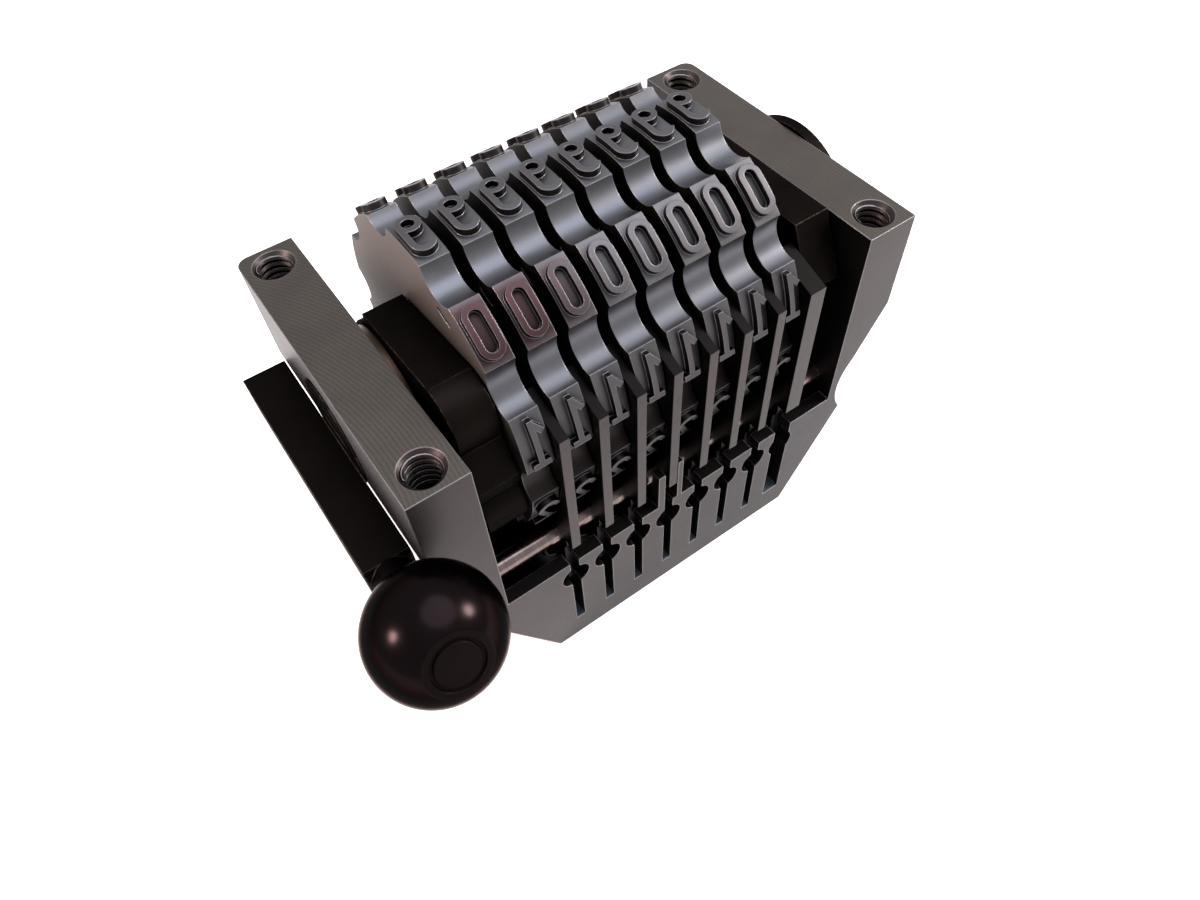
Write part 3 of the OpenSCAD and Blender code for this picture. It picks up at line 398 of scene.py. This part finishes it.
# The noughts, one step forward of the top, of the wheels at the left.
ahead = add(wheel_steel, "ShaderNodeMath", {0: axes.outputs["Y"], 1: -1.0}, operation="MULTIPLY")
angle = add(wheel_steel, "ShaderNodeMath", {0: ahead.outputs[0], 1: axes.outputs["Z"]},
            operation="ARCTAN2")
off_nought = add(wheel_steel, "ShaderNodeMath", {0: angle.outputs[0], 1: PAD_STEP},
                 operation="SUBTRACT")
off_nought = add(wheel_steel, "ShaderNodeMath", {0: off_nought.outputs[0]}, operation="ABSOLUTE")
near = add(wheel_steel, "ShaderNodeMapRange", {"Value": off_nought.outputs[0],
                                               "From Min": BROWN_ENDS, "From Max": BROWN_FULL})
left = add(wheel_steel, "ShaderNodeMapRange", {"Value": axes.outputs["X"], "From Min": BROWN_ENDS_X,
                                               "From Max": BROWN_FULL_X})
outer = add(wheel_steel, "ShaderNodeMath", {0: reach.outputs["Value"], 1: PAD_LOW},
            operation="GREATER_THAN")
brown = add(wheel_steel, "ShaderNodeMath", {0: near.outputs[0], 1: left.outputs[0]},
            operation="MULTIPLY")
brown = add(wheel_steel, "ShaderNodeMath", {0: brown.outputs[0], 1: outer.outputs[0]},
            operation="MULTIPLY")
# Patches of wear, 2.4 mm across. Polishing lines along the axis, 0.8 mm long and 0.11 mm apart:
# coarser than paper leaves them, so that they show.
patches = add(wheel_steel, "ShaderNodeTexNoise", {"Vector": place.outputs["Object"], "Scale": 420.0,
                                                  "Detail": 5.0})
cut = add(wheel_steel, "ShaderNodeMapping", {0: place.outputs["Object"],
                                             "Scale": (1200, 9000, 9000)})
lines = add(wheel_steel, "ShaderNodeTexNoise", {"Vector": cut.outputs[0], "Scale": 1.0,
                                                "Detail": 2.0})
tone = add(wheel_steel, "ShaderNodeMix", {"Factor": patches.outputs["Fac"], 6: linear("#454345"),
                                          7: linear("#5f5e61")}, data_type="RGBA")
tone = add(wheel_steel, "ShaderNodeMix", {"Factor": raised.outputs[0], 6: tone.outputs[2],
                                          7: linear("#504e51")}, data_type="RGBA")
film = add(wheel_steel, "ShaderNodeMath", {0: brown.outputs[0], 1: 0.85}, operation="MULTIPLY")
tone = add(wheel_steel, "ShaderNodeMix", {"Factor": film.outputs[0], 6: tone.outputs[2],
                                          7: linear("#372223")}, data_type="RGBA")
# Painted light: the hollows between the pads are coloured lighter and bluer the deeper they go, for
# the light they catch.
bright = add(wheel_steel, "ShaderNodeMath", {0: hollow.outputs[0], 1: 0.6}, operation="MULTIPLY")
tone = add(wheel_steel, "ShaderNodeMix", {"Factor": bright.outputs[0], 6: tone.outputs[2],
                                          7: linear("#62646b")}, data_type="RGBA")
flat_side = add(wheel_steel, "ShaderNodeMix", {"Factor": first.outputs[0], 6: linear("#191615"),
                                               7: linear("#6a605b")}, data_type="RGBA")
tone = add(wheel_steel, "ShaderNodeMix", {"Factor": side.outputs[0], 6: tone.outputs[2],
                                          7: flat_side.outputs[2]}, data_type="RGBA")
# Painted shade: darker where other parts lie close, in corners and between the wheels.
open_to = add(wheel_steel, "ShaderNodeAmbientOcclusion", {"Distance": 0.007}, samples=8)
occlusion_shade = add(wheel_steel, "ShaderNodeMapRange", {"Value": open_to.outputs["AO"], "From Min": 0.3,
                                                "From Max": 0.86, "To Min": 0.92, "To Max": 0.0})
tone = add(wheel_steel, "ShaderNodeMix", {"Factor": occlusion_shade.outputs[0], 6: tone.outputs[2],
                                          7: linear("#131010")}, data_type="RGBA")
# Painted shade on the ones and twos, low on the front of each wheel.
lower = add(wheel_steel, "ShaderNodeMapRange", {"Value": axes.outputs["Z"],
                                                "From Min": SHADE_STARTS_Z, "From Max": SHADE_FULL_Z,
                                                "To Max": 0.92})
forward = add(wheel_steel, "ShaderNodeMapRange", {"Value": axes.outputs["Y"],
                                                  "From Min": SHADE_STARTS_Y, "From Max": SHADE_FULL_Y})
lower_front_shade = add(wheel_steel, "ShaderNodeMath", {0: lower.outputs[0], 1: forward.outputs[0]},
              operation="MULTIPLY")
tone = add(wheel_steel, "ShaderNodeMix", {"Factor": lower_front_shade.outputs[0], 6: tone.outputs[2],
                                          7: linear("#1b1614")}, data_type="RGBA")
# Painted shade on the figures' flanks.
flank_shade = add(wheel_steel, "ShaderNodeMath", {0: flank.outputs[0], 1: 0.85}, operation="MULTIPLY")
tone = add(wheel_steel, "ShaderNodeMix", {"Factor": flank_shade.outputs[0], 6: tone.outputs[2],
                                          7: linear("#1d1817")}, data_type="RGBA")
# Edges coloured bright over 0.14 mm: partly wear, partly a painted highlight.
rounded = add(wheel_steel, "ShaderNodeBevel", {"Radius": 0.00014}, samples=6)
shape = add(wheel_steel, "ShaderNodeNewGeometry")
turn = add(wheel_steel, "ShaderNodeVectorMath", {0: rounded.outputs[0], 1: shape.outputs["Normal"]},
           operation="DOT_PRODUCT")
edge = add(wheel_steel, "ShaderNodeMapRange", {"Value": turn.outputs["Value"], "From Min": 0.985,
                                               "From Max": 0.88, "To Max": 0.5})
final = add(wheel_steel, "ShaderNodeMix", {"Factor": edge.outputs[0], 6: tone.outputs[2],
                                           7: linear("#85868c")}, data_type="RGBA")
sheen = add(wheel_steel, "ShaderNodeMapRange", {"Value": patches.outputs["Fac"], "To Min": 0.3,
                                                "To Max": 0.5})
sheen = add(wheel_steel, "ShaderNodeMix", {"Factor": side.outputs[0], 2: sheen.outputs[0], 3: 0.6})
depth = add(wheel_steel, "ShaderNodeBump", {"Height": lines.outputs["Fac"], "Strength": 0.2,
                                            "Distance": 0.00002, "Normal": rounded.outputs[0]})
metal = add(wheel_steel, "ShaderNodeBsdfPrincipled", {"Base Color": final.outputs[2],
                                                      "Metallic": 0.95,
                                                      "Roughness": sheen.outputs[0],
                                                      "Normal": depth.outputs[0]})
add(wheel_steel, "ShaderNodeOutputMaterial", {"Surface": metal.outputs[0]})
dress([f"figure_wheel_{k}" for k in range(1, 9)], wheel_steel)

# Retaining pawls: strips of hardened sheet steel, blackened, with their front edges ground bright
# in one pass when the box was assembled. Small dark rub marks cross the ground edges.
GROUND_FRONT = -0.01693
strip = blank(bpy.data.materials.new("blackened_strip_ground_edge"))
place = add(strip, "ShaderNodeTexCoord")
axes = add(strip, "ShaderNodeSeparateXYZ", {0: place.outputs["Object"]})
front = add(strip, "ShaderNodeMath", {0: axes.outputs["Y"], 1: GROUND_FRONT}, operation="LESS_THAN")
# Grinding lines, 2.5 mm long and 0.11 mm apart, coarser than real so that they show, and rub
# marks about 1.4 mm across.
upright = add(strip, "ShaderNodeMapping", {0: place.outputs["Object"], "Scale": (9000, 9000, 400)})
lines = add(strip, "ShaderNodeTexNoise", {"Vector": upright.outputs[0], "Scale": 1.0,
                                          "Detail": 3.0})
rubs = add(strip, "ShaderNodeTexNoise", {"Vector": place.outputs["Object"], "Scale": 700.0,
                                         "Detail": 3.0})
spots = add(strip, "ShaderNodeMapRange", {"Value": rubs.outputs["Fac"], "From Min": 0.62,
                                          "From Max": 0.7})
bare = add(strip, "ShaderNodeMix", {"Factor": lines.outputs["Fac"], 6: linear("#2a2424"),
                                    7: linear("#393232")}, data_type="RGBA")
bare = add(strip, "ShaderNodeMix", {"Factor": spots.outputs[0], 6: bare.outputs[2],
                                    7: linear("#2c2625")}, data_type="RGBA")
final = add(strip, "ShaderNodeMix", {"Factor": front.outputs[0], 6: linear("#0c0a0a"),
                                     7: bare.outputs[2]}, data_type="RGBA")
# Painted shade: darker where other parts lie close, between the wheels and the comb.
open_to = add(strip, "ShaderNodeAmbientOcclusion", {"Distance": 0.004}, samples=8)
occlusion_shade = add(strip, "ShaderNodeMapRange", {"Value": open_to.outputs["AO"], "From Min": 0.35,
                                          "From Max": 0.9, "To Min": 0.9, "To Max": 0.0})
final = add(strip, "ShaderNodeMix", {"Factor": occlusion_shade.outputs[0], 6: final.outputs[2],
                                     7: linear("#050404")}, data_type="RGBA")
rounded = add(strip, "ShaderNodeBevel", {"Radius": 0.0001}, samples=6)
metal = add(strip, "ShaderNodeBsdfPrincipled", {"Base Color": final.outputs[2], "Metallic": 0.95,
                                                "Roughness": 0.4, "Normal": rounded.outputs[0]})
add(strip, "ShaderNodeOutputMaterial", {"Surface": metal.outputs[0]})
dress([f"retaining_pawl_{k}" for k in range(1, 9)], strip)

# Springs: hard-drawn music wire, wound cold and oiled. Grey metal in lighter and darker patches
# about a millimetre long, with painted shade where the coils lie close among other parts.
wire = blank(bpy.data.materials.new("music_wire"))
place = add(wire, "ShaderNodeTexCoord")
patches = add(wire, "ShaderNodeTexNoise", {"Vector": place.outputs["Object"], "Scale": 900.0,
                                           "Detail": 3.0})
tone = add(wire, "ShaderNodeMix", {"Factor": patches.outputs["Fac"], 6: linear("#262628"),
                                   7: linear("#4a4a4e")}, data_type="RGBA")
# Painted shade: darker where other parts lie close.
open_to = add(wire, "ShaderNodeAmbientOcclusion", {"Distance": 0.006}, samples=8)
occlusion_shade = add(wire, "ShaderNodeMapRange", {"Value": open_to.outputs["AO"], "From Min": 0.3,
                                         "From Max": 0.85, "To Min": 0.92, "To Max": 0.0})
tone = add(wire, "ShaderNodeMix", {"Factor": occlusion_shade.outputs[0], 6: tone.outputs[2],
                                   7: linear("#0a0909")}, data_type="RGBA")
metal = add(wire, "ShaderNodeBsdfPrincipled", {"Base Color": tone.outputs[2], "Metallic": 1.0,
                                               "Roughness": 0.28})
add(wire, "ShaderNodeOutputMaterial", {"Surface": metal.outputs[0]})
dress(["return_spring", "drive_spring"] + [f"pawl_spring_{k}" for k in range(1, 9)], wire)

# Washers: stamped steel shims between the cheeks and the plates, blued and browned by oil and heat.
# Dark, with a dull brown shine on the narrow rim that shows.
shim = blank(bpy.data.materials.new("stamped_shim_steel"))
place = add(shim, "ShaderNodeTexCoord")
# Patches of colour, 2 mm across.
patches = add(shim, "ShaderNodeTexNoise", {"Vector": place.outputs["Object"], "Scale": 500.0,
                                           "Detail": 3.0})
tone = add(shim, "ShaderNodeMix", {"Factor": patches.outputs["Fac"], 6: linear("#2c231d"),
                                   7: linear("#4a3a30")}, data_type="RGBA")
metal = add(shim, "ShaderNodeBsdfPrincipled", {"Base Color": tone.outputs[2], "Metallic": 1.0,
                                               "Roughness": 0.35})
add(shim, "ShaderNodeOutputMaterial", {"Surface": metal.outputs[0]})
dress(["left_washer", "right_washer"], shim)

# The ball: turned from steel bar, hardened, and left with the dark colour of the oil quench, then
# polished by fingers. Smooth, almost a mirror, clouded with brown and grey, and duller on its flat.
BALL = (-0.0295, -0.02288, 0.031041)
BALL_RADIUS = 0.0058
FLAT_INSIDE = 0.00008
quenched = blank(bpy.data.materials.new("oil_quenched_steel"))
place = add(quenched, "ShaderNodeTexCoord")
# Clouds 6 mm across, and finger marks 1 mm across.
clouds = add(quenched, "ShaderNodeTexNoise", {"Vector": place.outputs["Object"], "Scale": 160.0,
                                              "Detail": 4.0, "Distortion": 0.6})
centred = add(quenched, "ShaderNodeMapping", {0: place.outputs["Object"],
                                              "Location": [-c for c in BALL]})
from_middle = add(quenched, "ShaderNodeVectorMath", {0: centred.outputs[0]}, operation="LENGTH")
flat = add(quenched, "ShaderNodeMath", {0: from_middle.outputs["Value"],
                                        1: BALL_RADIUS - FLAT_INSIDE}, operation="LESS_THAN")
streaks = add(quenched, "ShaderNodeTexNoise", {"Vector": place.outputs["Object"], "Scale": 900.0,
                                               "Detail": 5.0})
tone = add(quenched, "ShaderNodeMix", {"Factor": clouds.outputs["Fac"], 6: linear("#0c0809"),
                                       7: linear("#1a1415")}, data_type="RGBA")
rounded = add(quenched, "ShaderNodeBevel", {"Radius": 0.0003}, samples=6)
sheen = add(quenched, "ShaderNodeMapRange", {"Value": streaks.outputs["Fac"], "To Min": 0.17,
                                             "To Max": 0.27})
sheen = add(quenched, "ShaderNodeMix", {"Factor": flat.outputs[0], 2: sheen.outputs[0], 3: 0.46})
metal = add(quenched, "ShaderNodeBsdfPrincipled", {"Base Color": tone.outputs[2], "Metallic": 0.96,
                                                   "Specular Tint": linear("#a8a09e"),
                                                   "Roughness": sheen.outputs[0],
                                                   "Normal": rounded.outputs[0]})
add(quenched, "ShaderNodeOutputMaterial", {"Surface": metal.outputs[0]})
dress(["ball_knob"], quenched)
